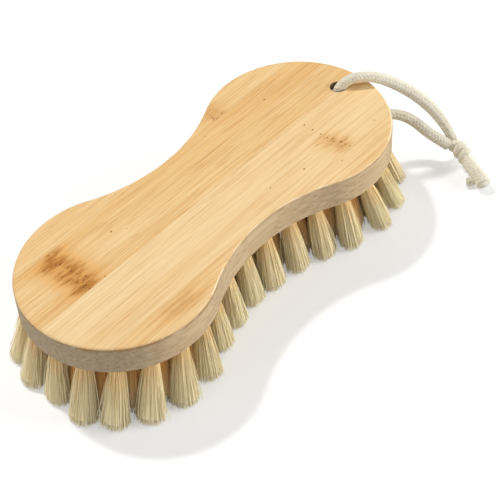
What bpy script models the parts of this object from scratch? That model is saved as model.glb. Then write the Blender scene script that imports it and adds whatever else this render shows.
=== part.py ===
"""Bamboo scrub brush: a waisted board glued up from strips, staple-set bristle tufts and a
knotted hanging cord. Metres, +Z up. The tuft tips stand on z = 0, and the board's long axis
is X, with the cord hole at the +X end."""

import math
import random

import bmesh
import bpy
from mathutils import Matrix, Vector

# Clearance between pieces that touch on the real brush
FIT_GAP = 0.0003

# Distance under which a curve's loose caps are welded to its sides
WELD_DISTANCE = 0.000002

# Board: two round lobes joined by a narrower waist, cut from four edge-glued bamboo strips
BOARD_LENGTH = 0.1500
LOBE_WIDTH = 0.0643
WAIST_WIDTH = 0.0432
BOARD_THICKNESS = 0.0112
RIM_ROUND = 0.0010
STRIP_WIDTH = 0.0220
OUTLINE_POINTS = 132
RIM_ROUND_STEPS = 1

# Tufts: bundles of fibre folded into drilled holes, with the tips trimmed flat
BRISTLE_TRIM = 0.0225
TUFT_DIAMETER = 0.0044
TUFT_PITCH = 0.01025
EDGE_INSET = 0.0050
ROW_SPACING = 0.0060
CORE_SPACING = 0.0095
TUFT_HOLE_DEPTH = 0.0085
OUTER_STRANDS = 7
INNER_STRANDS = 5
STRAND_INSET = 0.00016
TIP_SPREAD = 2.15
INNER_TIP_SPREAD = 1.80
STRAND_FLARE = 1.6
TIP_SCATTER = 0.0003

# How far a tuft's tip leans from its root: out over the rim, and on the sides towards the ends
RIM_LEAN = 0.0038
SIDE_LEAN = 0.11
INNER_LEAN_SHARE = 0.8
CORE_LEAN_SHARE = 0.25
LEAN_SCATTER = 0.0006
SCATTER_SEED = 11

# Anchor: the flat wire that holds each folded bundle at the bottom of its hole
ANCHOR_LENGTH = 0.0032
ANCHOR_WIRE = 0.0006
ANCHOR_HEIGHT = 0.0014
ANCHOR_SINK = 0.0004

# Slice of backing that joins the inner tufts into groups: thin links, in slots of their own
LINK_WIDTH = 0.0016
LINK_HEIGHT = 0.0010
LINK_RECESS = 0.0005
LINK_REACH = 0.0006

# Hanging cord: one soft cotton cord through the board, its two ends tied in a knot. It is
# short and its bends are tight, so its points lie less than a diameter apart. The hole is a
# little off the seam, as in the photo, and its edges are eased.
CORD_DIAMETER = 0.0037
CORD_POINT_SPACING = 0.0034
CORD_CURVE_STEPS = 24
CORD_ROUND_STEPS = 2
CORD_HOLE_DIAMETER = 0.0054
CORD_HOLE_INSET = 0.0095
CORD_HOLE_Y = 0.00065
CORD_HOLE_EASE = 0.0009
CORD_HOLE_WALL = 0.0012
CORD_HOLE_SIDES = 24
KNOT_CORE_RADIUS = 0.0027
KNOT_CORE_LENGTH = 0.0080
KNOT_CORE_SEGMENTS = 12
KNOT_CORE_RINGS = 8
KNOT_WRAP_RADIUS = 0.0016
KNOT_WRAP_THICKNESS = 0.0034
KNOT_WRAP_SPACING = 0.0034
KNOT_WRAP_SIDES = 12
KNOT_WRAP_TILT = math.radians(14)
LONG_TAIL_SWELLS = (1.2, 1.45)
SHORT_TAIL_SWELLS = (1.0, 0.72)

# Worked out from the driving sizes
BOARD_BOTTOM = BRISTLE_TRIM
BOARD_TOP = BRISTLE_TRIM + BOARD_THICKNESS
HALF_THICKNESS = BOARD_THICKNESS / 2
LOBE_RADIUS = LOBE_WIDTH / 2
LOBE_CENTRE = BOARD_LENGTH / 2 - LOBE_RADIUS
HALF_WAIST = WAIST_WIDTH / 2
WAIST_RADIUS = (LOBE_CENTRE ** 2 + HALF_WAIST ** 2 - LOBE_RADIUS ** 2) / (2 * (LOBE_RADIUS - HALF_WAIST))
WAIST_CENTRE = WAIST_RADIUS + HALF_WAIST
LOBE_SWEEP = math.atan2(WAIST_CENTRE, -LOBE_CENTRE)
CORD_HOLE_X = BOARD_LENGTH / 2 - CORD_HOLE_INSET
FOLD_DEPTH = TUFT_HOLE_DEPTH - ANCHOR_HEIGHT - FIT_GAP
CORD_RADIUS = CORD_DIAMETER / 2


def start_collections():
    """Clear the scene, and make one collection for the brush and one for its cutters."""
    for old in list(bpy.data.objects):
        bpy.data.objects.remove(old, do_unlink=True)
    made = []
    for name in ("scrub_brush", "cutters"):
        collection = bpy.data.collections.new(name)
        bpy.context.scene.collection.children.link(collection)
        made.append(collection)
    return made


BRUSH, CUTTERS = start_collections()


def plain_material(name, colour, roughness):
    material = bpy.data.materials.new(name)
    material.use_nodes = True
    shader = material.node_tree.nodes["Principled BSDF"]
    shader.inputs["Base Color"].default_value = (*colour, 1.0)
    shader.inputs["Roughness"].default_value = roughness
    shader.inputs["Metallic"].default_value = 0.0
    return material


BAMBOO = plain_material("bamboo", (0.86, 0.60, 0.30), 0.55)
BAMBOO_PALE = plain_material("bamboo_pale", (0.89, 0.66, 0.37), 0.55)
BRISTLE = plain_material("bristle", (0.72, 0.60, 0.38), 0.70)
COTTON = plain_material("cotton", (0.80, 0.76, 0.62), 0.90)


def add_part(name, mesh, material):
    part = bpy.data.objects.new(name, mesh)
    mesh.materials.clear()
    mesh.materials.append(material)
    BRUSH.objects.link(part)
    return part


def add_cutter(name, mesh):
    cutter = bpy.data.objects.new(name, mesh)
    cutter.hide_render = True
    cutter.display_type = "WIRE"
    CUTTERS.objects.link(cutter)
    return cutter


def combine(part, operand, operation, solver="EXACT"):
    """A Boolean of the part with an operand, whose own shapes may overlap each other."""
    modifier = part.modifiers.new(f"{operation.lower()}_{operand.name}", "BOOLEAN")
    modifier.operation = operation
    modifier.object = operand
    modifier.solver = solver
    modifier.use_self = solver == "EXACT"


def curve_to_mesh(name, curve):
    """The closed mesh of a curve, with its loose caps welded on."""
    source = bpy.data.objects.new(name, curve)
    bpy.context.scene.collection.objects.link(source)
    evaluated = source.evaluated_get(bpy.context.evaluated_depsgraph_get())
    mesh = bpy.data.meshes.new_from_object(evaluated)
    bpy.data.objects.remove(source, do_unlink=True)
    bm = bmesh.new()
    bm.from_mesh(mesh)
    bmesh.ops.remove_doubles(bm, verts=bm.verts, dist=WELD_DISTANCE)
    bm.to_mesh(mesh)
    bm.free()
    return mesh


def bmesh_to_mesh(name, bm):
    mesh = bpy.data.meshes.new(name)
    bm.to_mesh(mesh)
    bm.free()
    return mesh


def outline_length(inset):
    """Length of the outline moved in by the inset, once round."""
    lobe = (LOBE_RADIUS - inset) * LOBE_SWEEP
    waist = (WAIST_RADIUS + inset) * (LOBE_SWEEP - math.pi / 2)
    return 4 * (lobe + waist)


def outline_place(inset, distance):
    """Point and outward direction on the outline moved in by the inset, at a distance
    from the +X end, counterclockwise seen from above."""
    quarter = outline_length(inset) / 4
    turn, along = divmod(distance, 2 * quarter)
    from_end = min(along, 2 * quarter - along)
    lobe = LOBE_RADIUS - inset
    if from_end <= lobe * LOBE_SWEEP:
        angle = from_end / lobe
        point = Vector((LOBE_CENTRE + lobe * math.cos(angle), lobe * math.sin(angle), 0.0))
        outward = Vector((math.cos(angle), math.sin(angle), 0.0))
    else:
        waist = WAIST_RADIUS + inset
        angle = (quarter - from_end) / waist
        point = Vector((waist * math.sin(angle), WAIST_CENTRE - waist * math.cos(angle), 0.0))
        outward = Vector((-math.sin(angle), math.cos(angle), 0.0))
    if along > quarter:
        point.x, outward.x = -point.x, -outward.x
    if turn % 2:
        point, outward = -point, -outward
    return point, outward


def board_mesh():
    """The whole board before its strips are told apart: the outline, as a flat curve with
    half its thickness of extrusion and a rounded rim."""
    curve = bpy.data.curves.new("board_outline", "CURVE")
    curve.dimensions = "2D"
    curve.fill_mode = "BOTH"
    curve.extrude = HALF_THICKNESS - RIM_ROUND
    curve.bevel_depth = RIM_ROUND
    curve.bevel_resolution = RIM_ROUND_STEPS
    curve.offset = -RIM_ROUND
    spline = curve.splines.new("POLY")
    spline.points.add(OUTLINE_POINTS - 1)
    spacing = outline_length(0.0) / OUTLINE_POINTS
    for index, point in enumerate(spline.points):
        place, _ = outline_place(0.0, index * spacing)
        point.co = (place.x, place.y, 0.0, 1.0)
    spline.use_cyclic_u = True
    mesh = curve_to_mesh("board_outline", curve)
    for vertex in mesh.vertices:
        vertex.co.z += BOARD_BOTTOM + HALF_THICKNESS
    return mesh


def add_box(bm, size, middle, angle=0.0):
    """A box of the given size about its middle, turned about Z."""
    made = bmesh.ops.create_cube(bm, size=1.0)
    turn = Matrix.Rotation(angle, 3, "Z")
    for vertex in made["verts"]:
        vertex.co = turn @ Vector(a * b for a, b in zip(vertex.co, size)) + middle


def slab_cutter(name, low, high):
    """A box that keeps one strip of the board: x and y limits, and tall enough for its height."""
    bm = bmesh.new()
    size = (high[0] - low[0], high[1] - low[1], 2 * BOARD_TOP)
    middle = Vector(((high[0] + low[0]) / 2, (high[1] + low[1]) / 2, BOARD_TOP))
    add_box(bm, size, middle)
    return add_cutter(name, bmesh_to_mesh(name, bm))


def tuft_sites():
    """Root, lean and row of every tuft: an outer row along the rim, an inner row close behind
    its gaps, and core tufts: a line along the waist, and a ring about a middle one in each
    lobe. A tuft that would break into the cord hole is left out."""
    scatter = random.Random(SCATTER_SEED)
    sites = []

    def add(row, place, outward, share):
        from_hole = math.hypot(place.x - CORD_HOLE_X, place.y - CORD_HOLE_Y)
        if from_hole < CORD_HOLE_DIAMETER / 2 + TUFT_DIAMETER / 2 + FIT_GAP + CORD_HOLE_WALL:
            return
        lean = share * (RIM_LEAN * outward + Vector((SIDE_LEAN * place.x * abs(outward.y), 0.0, 0.0)))
        lean.x += scatter.uniform(-LEAN_SCATTER, LEAN_SCATTER)
        lean.y += scatter.uniform(-LEAN_SCATTER, LEAN_SCATTER)
        root = Vector((place.x, place.y, BOARD_BOTTOM))
        sites.append({"row": row, "root": root, "lean": lean})

    outer_count = round(outline_length(EDGE_INSET) / TUFT_PITCH)
    outer_pitch = outline_length(EDGE_INSET) / outer_count
    for index in range(outer_count):
        place, outward = outline_place(EDGE_INSET, index * outer_pitch)
        add("outer", place, outward, 1.0)
    for index in range(outer_count):
        place, outward = outline_place(EDGE_INSET, (index + 0.5) * outer_pitch)
        add("inner", place - ROW_SPACING * outward, outward, INNER_LEAN_SHARE)

    core_radius = LOBE_RADIUS - EDGE_INSET - ROW_SPACING - CORE_SPACING
    core_count = round(2 * math.pi * core_radius / TUFT_PITCH)
    half_line = LOBE_CENTRE - core_radius - TUFT_PITCH
    half_count = round(half_line / TUFT_PITCH)
    for side in (1, -1):
        outward = Vector((side, 0.0, 0.0))
        for index in range(1 if side == 1 else 0, half_count + 1):
            add("core", half_line * index / half_count * outward, outward, CORE_LEAN_SHARE)
        middle = LOBE_CENTRE * outward
        for index in range(core_count):
            angle = math.pi + 2 * math.pi * index / core_count
            outward = Vector((side * math.cos(angle), math.sin(angle), 0.0))
            add("core", middle + core_radius * outward, outward, CORE_LEAN_SHARE)
        add("core", middle, outward, 0.0)
    return sites


def tuft_groups(sites):
    """The sites of each node, under its name. Outer tufts are nodes of their own. Inner tufts
    share a node by quarter of the board, and core tufts by lobe."""
    outer = [site for site in sites if site["row"] == "outer"]
    groups = {f"outer_tuft_{number:02d}": [site] for number, site in enumerate(outer, start=1)}
    for site in sites:
        root = site["root"]
        end = "hole_end" if root.x > 0 else "plain_end"
        side = "back" if root.y > 0 else "front"
        if site["row"] == "inner":
            groups.setdefault(f"inner_tufts_{end}_{side}", []).append(site)
        elif site["row"] == "core":
            groups.setdefault(f"core_tufts_{end}", []).append(site)
    return groups


def strand_count(site):
    return OUTER_STRANDS if site["row"] == "outer" else INNER_STRANDS


def add_hole_shape(bm, site, radius, low, high):
    """An upright prism about the tuft's root, between two heights, with a side for each strand."""
    made = bmesh.ops.create_cone(
        bm, cap_ends=True, cap_tris=True, segments=strand_count(site),
        radius1=radius, radius2=radius, depth=high - low)
    for vertex in made["verts"]:
        vertex.co += Vector((site["root"].x, site["root"].y, (high + low) / 2))
    return made["verts"]


def add_tuft(bm, site, scatter):
    """One tuft: the folded bundle in its hole, and its strands, each drawn out of one wedge of
    the bundle's lower face to a tip cut off level on z = 0."""
    body = add_hole_shape(bm, site, TUFT_DIAMETER / 2, BOARD_BOTTOM, BOARD_BOTTOM + FOLD_DEPTH)
    lower = {v for v in body if abs(v.co.z - BOARD_BOTTOM) < FIT_GAP}
    wedges = [f for f in bm.faces if all(v in lower for v in f.verts)]
    bmesh.ops.inset_individual(bm, faces=wedges, thickness=STRAND_INSET, use_even_offset=True)
    tips = bmesh.ops.extrude_discrete_faces(bm, faces=wedges)["faces"]
    axis = site["root"]
    tip_spread = TIP_SPREAD if site["row"] == "outer" else INNER_TIP_SPREAD
    for tip in tips:
        middle = tip.calc_center_median() - axis
        nudge = Vector((scatter.uniform(-TIP_SCATTER, TIP_SCATTER),
                        scatter.uniform(-TIP_SCATTER, TIP_SCATTER), 0.0))
        for vertex in tip.verts:
            spread = tip_spread * middle + STRAND_FLARE * (vertex.co - axis - middle) + nudge
            place = axis + site["lean"] + spread
            vertex.co = (place.x, place.y, 0.0)


def add_links(bm, sites, clearance, mouth):
    """Thin links of backing between neighbouring roots. With a clearance and a mouth they are
    the slots for them, which open at the board's lower face."""
    low = BOARD_BOTTOM + LINK_RECESS - clearance - mouth
    high = BOARD_BOTTOM + LINK_RECESS + LINK_HEIGHT + clearance
    for near, far in zip(sites, sites[1:]):
        span = far["root"] - near["root"]
        length = span.length - TUFT_DIAMETER + 2 * LINK_REACH + 2 * clearance
        size = (length, LINK_WIDTH + 2 * clearance, high - low)
        middle = (near["root"] + far["root"]) / 2
        middle.z = (low + high) / 2
        add_box(bm, size, middle, math.atan2(span.y, span.x))


def fixings(name, sites):
    """The anchor over each fold, and the links between the tufts of a group."""
    bm = bmesh.new()
    size = (ANCHOR_LENGTH, ANCHOR_WIRE, ANCHOR_HEIGHT + ANCHOR_SINK)
    height = BOARD_BOTTOM + FOLD_DEPTH + (ANCHOR_HEIGHT - ANCHOR_SINK) / 2
    for site in sites:
        add_box(bm, size, Vector((site["root"].x, site["root"].y, height)))
    add_links(bm, sites, 0.0, 0.0)
    return add_cutter(name, bmesh_to_mesh(name, bm))


def tuft_hole_cutter(sites):
    """All tuft holes as one cutter, each a clearance wider than its bundle."""
    bm = bmesh.new()
    for site in sites:
        corner_gap = FIT_GAP / math.cos(math.pi / strand_count(site))
        radius = TUFT_DIAMETER / 2 + corner_gap
        add_hole_shape(bm, site, radius, BOARD_BOTTOM - FIT_GAP, BOARD_BOTTOM + TUFT_HOLE_DEPTH)
    return add_cutter("cutter_tuft_holes", bmesh_to_mesh("cutter_tuft_holes", bm))


def link_slot_cutter(groups):
    bm = bmesh.new()
    for sites in groups.values():
        add_links(bm, sites, FIT_GAP, LINK_RECESS)
    return add_cutter("cutter_link_slots", bmesh_to_mesh("cutter_link_slots", bm))


def cord_hole_cutter():
    """The round hole for the cord, which opens towards both faces of the board."""
    narrow = CORD_HOLE_DIAMETER / 2
    wide = narrow + CORD_HOLE_EASE + FIT_GAP
    levels = (
        (wide, BOARD_BOTTOM - FIT_GAP), (narrow, BOARD_BOTTOM + CORD_HOLE_EASE),
        (narrow, BOARD_TOP - CORD_HOLE_EASE), (wide, BOARD_TOP + FIT_GAP))
    bm = bmesh.new()
    rings = []
    for radius, height in levels:
        ring = []
        for side in range(CORD_HOLE_SIDES):
            angle = 2 * math.pi * side / CORD_HOLE_SIDES
            x = CORD_HOLE_X + radius * math.cos(angle)
            y = CORD_HOLE_Y + radius * math.sin(angle)
            ring.append(bm.verts.new((x, y, height)))
        rings.append(ring)
    for low, high in zip(rings, rings[1:]):
        for side in range(CORD_HOLE_SIDES):
            after = (side + 1) % CORD_HOLE_SIDES
            bm.faces.new((low[side], low[after], high[after], high[side]))
    bm.faces.new(rings[0][::-1])
    bm.faces.new(rings[-1])
    return add_cutter("cutter_cord_hole", bmesh_to_mesh("cutter_cord_hole", bm))


def make_board(groups):
    """The six pieces of the board: two strips along the middle, and four lobe cheeks outside
    them, which the waist cuts apart. Neighbours meet at a glue line."""
    blank = board_mesh()
    tuft_holes = tuft_hole_cutter(site for sites in groups.values() for site in sites)
    link_slots = link_slot_cutter(groups)
    cord_hole = cord_hole_cutter()
    glue = FIT_GAP / 2
    reach = BOARD_LENGTH
    strips = {
        "strip_middle_back": ((-reach, glue), (reach, STRIP_WIDTH - glue)),
        "strip_middle_front": ((-reach, glue - STRIP_WIDTH), (reach, -glue)),
        "cheek_hole_end_back": ((glue, STRIP_WIDTH + glue), (reach, reach)),
        "cheek_plain_end_back": ((-reach, STRIP_WIDTH + glue), (-glue, reach)),
        "cheek_hole_end_front": ((glue, -reach), (reach, -STRIP_WIDTH - glue)),
        "cheek_plain_end_front": ((-reach, -reach), (-glue, -STRIP_WIDTH - glue)),
    }
    for name, (low, high) in strips.items():
        middle = name.startswith("strip_middle")
        strip = add_part(f"bamboo_{name}", blank.copy(), BAMBOO if middle else BAMBOO_PALE)
        combine(strip, slab_cutter(f"cutter_{name}", low, high), "INTERSECT")
        combine(strip, tuft_holes, "DIFFERENCE")
        if middle:
            combine(strip, link_slots, "DIFFERENCE")
            combine(strip, cord_hole, "DIFFERENCE")


def make_tufts(groups):
    """Each group's strands and folds, joined with its anchors and links into one solid."""
    scatter = random.Random(SCATTER_SEED + 1)
    for name, sites in groups.items():
        bm = bmesh.new()
        for site in sites:
            add_tuft(bm, site, scatter)
        part = add_part(name, bmesh_to_mesh(name, bm), BRISTLE)
        combine(part, fixings(f"fixings_{name}", sites), "UNION")


def over_board(x, y, z):
    return Vector((CORD_HOLE_X + x, CORD_HOLE_Y + y, BOARD_TOP + z))


def under_board(x, y, z):
    return Vector((CORD_HOLE_X + x, CORD_HOLE_Y + y, BOARD_BOTTOM + z))


def on_floor(x, y, z):
    return Vector((CORD_HOLE_X + x, CORD_HOLE_Y + y, z))


# The cord's route, chosen by hand: over the top face, down past the rim to the knot, and the
# same from under the board. The two runs meet inside the hole.
UPPER_ROUTE = [
    over_board(-0.00041, 0.00037, FIT_GAP / 2 - HALF_THICKNESS),
    over_board(-0.00037, 0.00033, -0.00358),
    over_board(-0.00004, 0.00003, -0.00176),
    over_board(0.00061, -0.00055, -0.00010),
    over_board(0.00153, -0.00139, 0.00130),
    over_board(0.00267, -0.00244, 0.00235),
    over_board(0.00397, -0.00362, 0.00300),
    over_board(0.00536, -0.00484, 0.00321),
    over_board(0.00735, -0.00650, 0.00300),
    over_board(0.00927, -0.00814, 0.00236),
    over_board(0.01107, -0.00975, 0.00142),
    over_board(0.01277, -0.01136, 0.00027),
    over_board(0.01437, -0.01294, -0.00103),
    over_board(0.01591, -0.01447, -0.00247),
    over_board(0.01739, -0.01595, -0.00403),
    over_board(0.01879, -0.01738, -0.00569),
    over_board(0.02012, -0.01876, -0.00745),
    over_board(0.02139, -0.02009, -0.00929),
    over_board(0.02258, -0.02137, -0.01122),
    over_board(0.02367, -0.02263, -0.01322),
    on_floor(0.02466, -0.02387, 0.01841),
    on_floor(0.02553, -0.02510, 0.01629),
    on_floor(0.02627, -0.02634, 0.01413),
    on_floor(0.02686, -0.02759, 0.01192),
    on_floor(0.02729, -0.02887, 0.00969),
    on_floor(0.02759, -0.03042, 0.00702),
]
LOWER_ROUTE = [
    under_board(-0.00031, 0.00031, HALF_THICKNESS - FIT_GAP / 2),
    under_board(-0.00031, 0.00031, 0.00345),
    under_board(-0.00011, 0.00011, 0.00148),
    under_board(0.00045, -0.00045, -0.00036),
    under_board(0.00131, -0.00132, -0.00193),
    under_board(0.00243, -0.00245, -0.00313),
    on_floor(0.00373, -0.00375, 0.01861),
    on_floor(0.00509, -0.00518, 0.01833),
    on_floor(0.00680, -0.00705, 0.01830),
    on_floor(0.00865, -0.00875, 0.01844),
    on_floor(0.01069, -0.01024, 0.01860),
    on_floor(0.01270, -0.01178, 0.01860),
    on_floor(0.01453, -0.01349, 0.01835),
    on_floor(0.01611, -0.01539, 0.01782),
    on_floor(0.01736, -0.01743, 0.01701),
    on_floor(0.01823, -0.01955, 0.01594),
    on_floor(0.01889, -0.02164, 0.01469),
    on_floor(0.01954, -0.02365, 0.01329),
    on_floor(0.02039, -0.02551, 0.01181),
    on_floor(0.02150, -0.02718, 0.01028),
    on_floor(0.02275, -0.02874, 0.00873),
    on_floor(0.02433, -0.03069, 0.00670),
]
LONG_TAIL = [
    on_floor(0.0246, -0.03850, 0.0045),
    on_floor(0.0227, -0.04185, 0.0043),
    on_floor(0.0218, -0.04425, 0.0041),
    on_floor(0.0210, -0.04645, 0.0038),
    on_floor(0.0202, -0.04835, 0.0034),
    on_floor(0.0191, -0.05035, 0.0030),
]
SHORT_TAIL = [
    on_floor(0.0247, -0.03810, 0.0038),
    on_floor(0.0234, -0.04185, 0.0023),
    on_floor(0.0217, -0.04455, 0.0018),
    on_floor(0.0199, -0.04565, 0.0016),
    on_floor(0.0184, -0.04525, 0.0015),
    on_floor(0.0174, -0.04415, 0.0014),
]
KNOT_START = on_floor(0.0268, -0.03185, 0.0066)
KNOT_END = on_floor(0.0250, -0.03880, 0.0045)


def smooth_route(route):
    """Points a cord step apart on a smooth curve through the route's own points."""
    ends = [2 * route[0] - route[1], *route, 2 * route[-1] - route[-2]]
    fine = [route[0]]
    for before, start, end, after in zip(ends, ends[1:], ends[2:], ends[3:]):
        for step in range(1, CORD_CURVE_STEPS + 1):
            t = step / CORD_CURVE_STEPS
            pull = (end - before) * t + (2 * before - 5 * start + 4 * end - after) * t ** 2
            pull += (3 * start - before - 3 * end + after) * t ** 3
            fine.append(start + pull / 2)
    lengths = [0.0]
    for near, far in zip(fine, fine[1:]):
        lengths.append(lengths[-1] + (far - near).length)
    count = max(2, round(lengths[-1] / CORD_POINT_SPACING))
    points = [fine[0]]
    for index in range(1, count):
        wanted = lengths[-1] * index / count
        position = next(i for i, length in enumerate(lengths) if length >= wanted)
        points.append(fine[position])
    points.append(fine[-1])
    return points


def cord_mesh(name, points, swells=(1.0, 1.0)):
    """A round cord along the points, as thick at its two ends as the swells say."""
    curve = bpy.data.curves.new(name, "CURVE")
    curve.dimensions = "3D"
    curve.bevel_depth = CORD_RADIUS
    curve.bevel_resolution = CORD_ROUND_STEPS
    curve.use_fill_caps = True
    spline = curve.splines.new("POLY")
    spline.points.add(len(points) - 1)
    for index, (point, place) in enumerate(zip(spline.points, points)):
        point.co = (*place, 1.0)
        point.radius = swells[0] + (swells[1] - swells[0]) * index / (len(points) - 1)
    return curve_to_mesh(name, curve)


def wrap_mesh(name, turn, middle):
    """One turn of cord round the knot, as a ring that leans a little from square."""
    curve = bpy.data.curves.new(name, "CURVE")
    curve.dimensions = "3D"
    curve.bevel_depth = KNOT_WRAP_THICKNESS / 2
    curve.bevel_resolution = CORD_ROUND_STEPS
    spline = curve.splines.new("POLY")
    spline.points.add(KNOT_WRAP_SIDES - 1)
    for index, point in enumerate(spline.points):
        angle = 2 * math.pi * index / KNOT_WRAP_SIDES
        flat = Vector((KNOT_WRAP_RADIUS * math.cos(angle), KNOT_WRAP_RADIUS * math.sin(angle), 0.0))
        point.co = (*(turn @ flat + middle), 1.0)
    spline.use_cyclic_u = True
    return curve_to_mesh(name, curve)


def make_cord():
    """The two free runs of the cord, and the knot that ties its ends, with their tails."""
    add_part("cord_upper_run", cord_mesh("cord_upper_run", smooth_route(UPPER_ROUTE)), COTTON)
    add_part("cord_lower_run", cord_mesh("cord_lower_run", smooth_route(LOWER_ROUTE)), COTTON)

    along = (KNOT_END - KNOT_START).normalized()
    middle = (KNOT_START + KNOT_END) / 2
    turn = along.to_track_quat("Z", "Y").to_matrix().to_4x4()
    core = bmesh.new()
    bmesh.ops.create_uvsphere(
        core, u_segments=KNOT_CORE_SEGMENTS, v_segments=KNOT_CORE_RINGS, radius=1.0)
    shape = Vector((KNOT_CORE_RADIUS, KNOT_CORE_RADIUS, KNOT_CORE_LENGTH / 2))
    for vertex in core.verts:
        vertex.co = turn @ Vector(a * b for a, b in zip(vertex.co, shape)) + middle
    knot = add_part("cord_knot", bmesh_to_mesh("cord_knot", core), COTTON)
    for name, offset in (("wrap_near", -0.5), ("wrap_far", 0.5)):
        tilted = turn @ Matrix.Rotation(2 * offset * KNOT_WRAP_TILT, 4, "X")
        ring = wrap_mesh(name, tilted, middle + along * KNOT_WRAP_SPACING * offset)
        combine(knot, add_cutter(f"cutter_{name}", ring), "UNION", "MANIFOLD")
    for name, tail, swells in (
            ("long_tail", LONG_TAIL, LONG_TAIL_SWELLS), ("short_tail", SHORT_TAIL, SHORT_TAIL_SWELLS)):
        tube = cord_mesh(name, smooth_route(tail), swells)
        combine(knot, add_cutter(f"cutter_{name}", tube), "UNION", "MANIFOLD")


GROUPS = tuft_groups(tuft_sites())
make_board(GROUPS)
make_tufts(GROUPS)
make_cord()
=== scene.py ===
import math
import random

import bmesh
import bpy
import numpy as np
from mathutils import Matrix, Vector


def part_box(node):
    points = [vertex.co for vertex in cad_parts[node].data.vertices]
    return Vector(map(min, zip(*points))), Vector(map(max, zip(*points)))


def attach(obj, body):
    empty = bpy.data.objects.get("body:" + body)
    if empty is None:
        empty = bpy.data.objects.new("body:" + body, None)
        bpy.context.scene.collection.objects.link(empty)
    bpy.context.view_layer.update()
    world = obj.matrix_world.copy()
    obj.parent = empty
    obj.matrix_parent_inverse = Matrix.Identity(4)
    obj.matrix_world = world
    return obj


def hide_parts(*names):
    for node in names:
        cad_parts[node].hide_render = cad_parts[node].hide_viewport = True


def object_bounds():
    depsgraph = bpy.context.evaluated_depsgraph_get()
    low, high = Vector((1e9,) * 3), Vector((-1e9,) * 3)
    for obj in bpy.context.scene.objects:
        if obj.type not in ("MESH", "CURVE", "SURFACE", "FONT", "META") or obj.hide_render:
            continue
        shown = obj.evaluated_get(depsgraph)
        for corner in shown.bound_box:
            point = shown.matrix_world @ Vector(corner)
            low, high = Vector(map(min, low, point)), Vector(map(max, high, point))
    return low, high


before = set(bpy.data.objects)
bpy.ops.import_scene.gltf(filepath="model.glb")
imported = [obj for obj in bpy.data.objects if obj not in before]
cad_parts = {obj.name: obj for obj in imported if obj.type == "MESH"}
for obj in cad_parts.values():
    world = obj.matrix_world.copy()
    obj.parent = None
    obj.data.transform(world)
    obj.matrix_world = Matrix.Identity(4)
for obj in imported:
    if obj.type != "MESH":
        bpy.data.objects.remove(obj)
cad_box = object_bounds()


def new_object(name, data):
    """A new object, which is put in the scene."""
    made = bpy.data.objects.new(name, data)
    bpy.context.scene.collection.objects.link(made)
    return made


# Camera: a long lens about 43 cm away, which looks down on the brush from its front left.
# The picture is level to within a few degrees.
CAMERA_AZIMUTH = math.radians(-45.752)
CAMERA_ELEVATION = math.radians(47.089)
CAMERA_ROLL = math.radians(-3.708)
CAMERA_DISTANCE = 0.432237
CAMERA_TARGET = Vector((-0.011282, -0.026778, 0.0337))
CAMERA_LENS = 100.8

camera_data = bpy.data.cameras.new("camera")
camera_data.lens = CAMERA_LENS
camera_data.sensor_width = 36.0
camera_data.clip_start = 0.01
camera_data.clip_end = 20.0
camera = new_object("camera", camera_data)
bpy.context.scene.camera = camera
towards_camera = Vector((
    math.sin(CAMERA_AZIMUTH) * math.cos(CAMERA_ELEVATION),
    -math.cos(CAMERA_AZIMUTH) * math.cos(CAMERA_ELEVATION),
    math.sin(CAMERA_ELEVATION)))
upright = towards_camera.to_track_quat("Z", "Y").to_matrix()
camera.matrix_world = Matrix.Translation(CAMERA_TARGET + CAMERA_DISTANCE * towards_camera) @ (
    upright @ Matrix.Rotation(CAMERA_ROLL, 3, "Z")).to_4x4()


# Hanging cord: one soft cotton cord, braided from sixteen yarns. It goes down through the hole
# in the board, and its two ends leave past the rim and are tied together. The braid is modelled
# on the surface of a tube, with each yarn floating over two others.
CORD_DIAMETER = 0.0037
YARNS_EACH_WAY = 8
BRAID_LAY = 0.0104
BRAID_DEPTH = 0.00028
CORD_SIDES = 64
CORD_RING_SPACING = 0.00017
CORD_CURVE_STEPS = 60
CORD_GAP = 0.00002
STEEP = 0.8
YARN_ROUNDNESS = 2.4
YARN_END_HEIGHT = 0.35
OTHER_WAY_YARNS = 40
RUN_SWELL = 0.22
RUN_SWELL_SHAPE = 0.7
RUN_SWELL_SPAN = (0.26, 0.68)
KNOT_END_SWELL = 0.20
KNOT_END_SPAN = (0.4, 0.6)

board_low, board_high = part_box("bamboo_strip_middle_back")
BOARD_BOTTOM = board_low.z
BOARD_TOP = board_high.z
FLOOR_LEVEL = 0.0
CORD_HOLE_X = 0.0655
CORD_HOLE_Y = 0.00065
CORD_HOLE_RADIUS = 0.0027
HALF_THICKNESS = (BOARD_TOP - BOARD_BOTTOM) / 2


def set_inputs(node, inputs):
    """Links sockets to inputs of a node, or gives its inputs values."""
    for key, value in inputs.items():
        if isinstance(value, bpy.types.NodeSocket):
            node.id_data.links.new(value, node.inputs[key])
        else:
            node.inputs[key].default_value = value


def add_node(tree, kind, inputs=(), **settings):
    """A node of a tree, with its settings made and its inputs linked or given values."""
    node = tree.nodes.new(kind)
    for name, value in settings.items():
        setattr(node, name, value)
    set_inputs(node, dict(inputs))
    return node


def linked_node(kind, inputs, **settings):
    """A node in the tree of the first link among its inputs."""
    links = [value for value in inputs.values() if isinstance(value, bpy.types.NodeSocket)]
    return add_node(links[0].id_data, kind, inputs, **settings)


def calculate(operation, *values, clamp=False):
    """The output of a Math node on links or numbers."""
    inputs = dict(enumerate(values))
    return linked_node("ShaderNodeMath", inputs, operation=operation, use_clamp=clamp).outputs[0]


def product(*values):
    """The product of links or numbers, in their order."""
    result = values[0]
    for value in values[1:]:
        result = calculate("MULTIPLY", result, value)
    return result


def difference(first, second):
    """The first link or number less the second."""
    return calculate("SUBTRACT", first, second)


def varied(base, pattern, amount, clamp=False):
    """A base that a pattern between 0 and 1 moves up and down."""
    return calculate("MULTIPLY_ADD", difference(pattern, 0.5), amount, base, clamp=clamp)


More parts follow.
